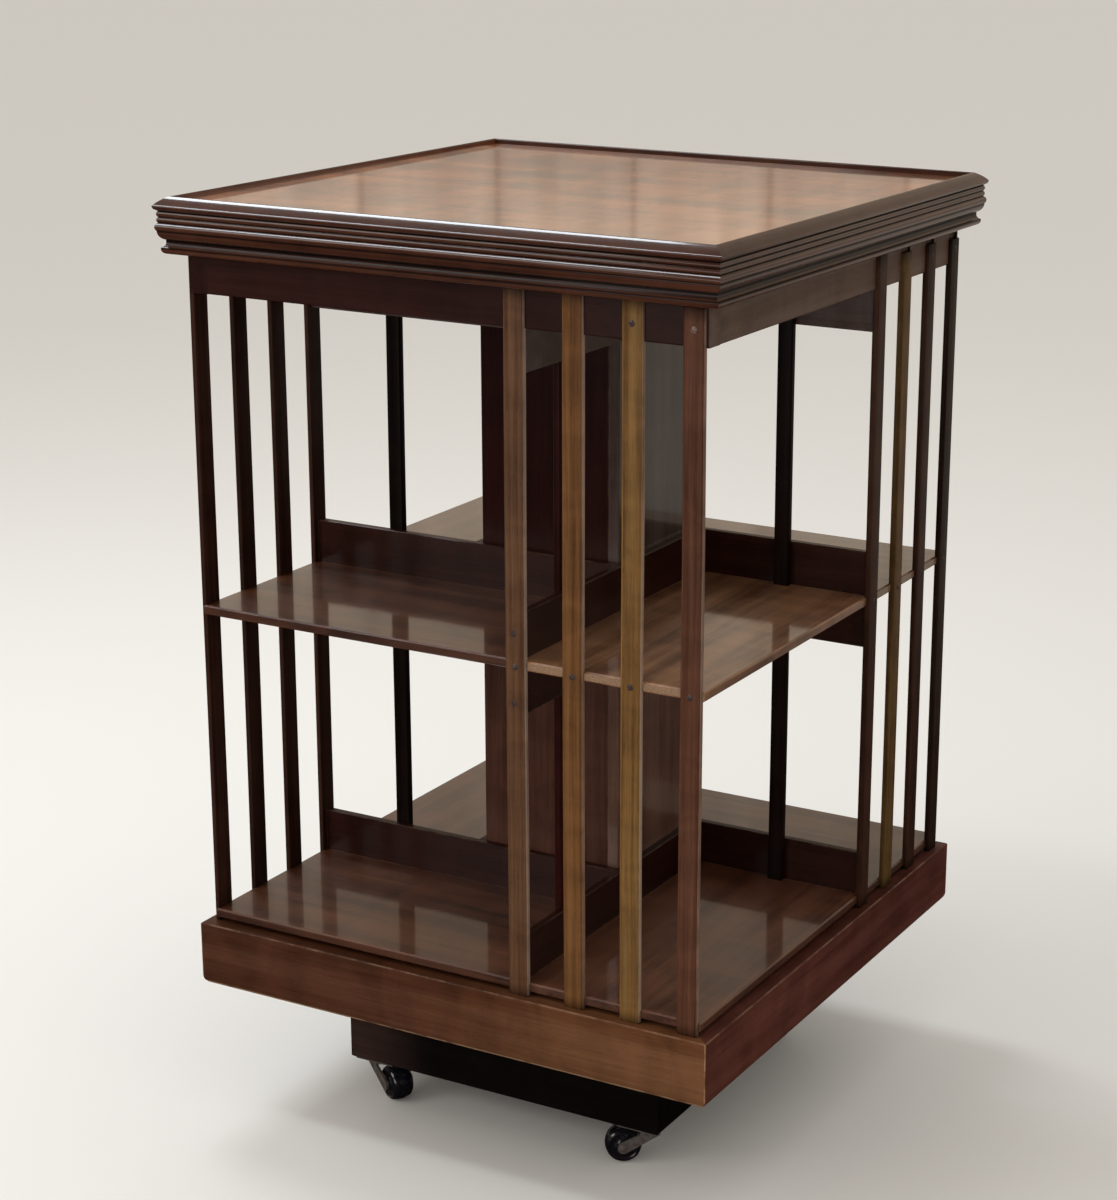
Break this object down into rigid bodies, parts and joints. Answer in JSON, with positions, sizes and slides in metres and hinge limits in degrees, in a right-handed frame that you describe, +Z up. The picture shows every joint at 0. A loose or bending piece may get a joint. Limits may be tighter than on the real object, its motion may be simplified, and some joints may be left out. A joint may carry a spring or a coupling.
{
  "type": "revolving bookcase",
  "caption": "Square wooden revolving bookcase: open tiers behind upright slats, moulded tray top, railed shelves round a central column, box base on swivel castors.",
  "frame": {"origin": "on the floor under the middle of the case, on the axis that the case turns on", "axes": "+Z up along the shaft; -Y is the front face, with its four slats at the +X end; the other three faces are the same, turned by quarters"},
  "size_m": [0.51, 0.51, 0.8035],
  "materials": {
    "top_wood": "gloss, polished",
    "moulding_wood": "gloss, polished",
    "case_wood": "satin, polished",
    "slat_wood": "satin, polished",
    "shelf_wood": "gloss, polished",
    "column_wood": "gloss, polished",
    "plinth_wood": "satin, polished",
    "base_wood": "satin, dark stained",
    "inner_wood": "raw",
    "shaft_steel": "turned",
    "flange_iron": "black",
    "bearing_brass": "turned",
    "castor_steel": "zinc plated",
    "screw_steel": "dull",
    "wheel_plastic": "gloss, black"
  },
  "bodies": {
    "base": {"base_frame": "base_wood", "corner_blocks": "inner_wood", "base_board": "base_wood", "shaft_flange": "flange_iron", "shaft": "shaft_steel", "castor_plates": "castor_steel"},
    "case": {"apron_back": "case_wood", "apron_front": "case_wood", "apron_left": "case_wood", "apron_right": "case_wood", "bearing_block": "inner_wood", "bearing_cup": "bearing_brass", "bottom_rail_back": "case_wood", "bottom_rail_front": "case_wood", "bottom_rail_left": "case_wood", "bottom_rail_right": "case_wood", "bottom_shelf_back": "shelf_wood", "bottom_shelf_front": "shelf_wood", "bottom_shelf_left": "shelf_wood", "bottom_shelf_right": "shelf_wood", "case_floor": "inner_wood", "column_board_back": "column_wood", "column_board_front": "column_wood", "column_board_left": "column_wood", "column_board_right": "column_wood", "guide_bush": "bearing_brass", "mid_slats": "slat_wood", "middle_rail_back": "case_wood", "middle_rail_front": "case_wood", "middle_rail_left": "case_wood", "middle_rail_right": "case_wood", "middle_shelf_back": "shelf_wood", "middle_shelf_front": "shelf_wood", "middle_shelf_left": "shelf_wood", "middle_shelf_right": "shelf_wood", "plinth_back": "plinth_wood", "plinth_front": "plinth_wood", "plinth_left": "plinth_wood", "plinth_right": "plinth_wood", "slats_back": "slat_wood", "slats_front": "slat_wood", "slats_left": "slat_wood", "slats_right": "slat_wood", "top_moulding_back": "moulding_wood", "top_moulding_front": "moulding_wood", "top_moulding_left": "moulding_wood", "top_moulding_right": "moulding_wood", "top_panel": "top_wood", "top_rails": "case_wood"},
    "fork_1": {"castor_1_fork": "castor_steel"},
    "wheel_1": {"castor_1_wheel": "wheel_plastic"},
    "fork_2": {"castor_2_fork": "castor_steel"},
    "wheel_2": {"castor_2_wheel": "wheel_plastic"},
    "fork_3": {"castor_3_fork": "castor_steel"},
    "wheel_3": {"castor_3_wheel": "wheel_plastic"},
    "fork_4": {"castor_4_fork": "castor_steel"},
    "wheel_4": {"castor_4_wheel": "wheel_plastic"}
  },
  "joints": [
    {"name": "case_turn", "type": "hinge", "parent": "base", "child": "case", "pos_m": [0, 0, 0.151], "axis": [0, 0, 1], "continuous": true},
    {"name": "castor_1_swivel", "type": "hinge", "parent": "base", "child": "fork_1", "pos_m": [-0.133, -0.133, 0.0309], "axis": [0, 0, 1], "continuous": true},
    {"name": "castor_1_roll", "type": "hinge", "parent": "fork_1", "child": "wheel_1", "pos_m": [-0.11534, -0.14239, 0.016], "axis": [0.4695, 0.8829, 0], "continuous": true},
    {"name": "castor_2_swivel", "type": "hinge", "parent": "base", "child": "fork_2", "pos_m": [0.133, -0.133, 0.0309], "axis": [0, 0, 1], "continuous": true},
    {"name": "castor_2_roll", "type": "hinge", "parent": "fork_2", "child": "wheel_2", "pos_m": [0.11568, -0.143, 0.016], "axis": [0.5, -0.866, 0], "continuous": true},
    {"name": "castor_3_swivel", "type": "hinge", "parent": "base", "child": "fork_3", "pos_m": [0.133, 0.133, 0.0309], "axis": [0, 0, 1], "continuous": true},
    {"name": "castor_3_roll", "type": "hinge", "parent": "fork_3", "child": "wheel_3", "pos_m": [0.11662, 0.14447, 0.016], "axis": [-0.5736, -0.8192, 0], "continuous": true},
    {"name": "castor_4_swivel", "type": "hinge", "parent": "base", "child": "fork_4", "pos_m": [-0.133, 0.133, 0.0309], "axis": [0, 0, 1], "continuous": true},
    {"name": "castor_4_roll", "type": "hinge", "parent": "fork_4", "child": "wheel_4", "pos_m": [-0.123, 0.15032, 0.016], "axis": [-0.866, 0.5, 0], "continuous": true}
  ]
}
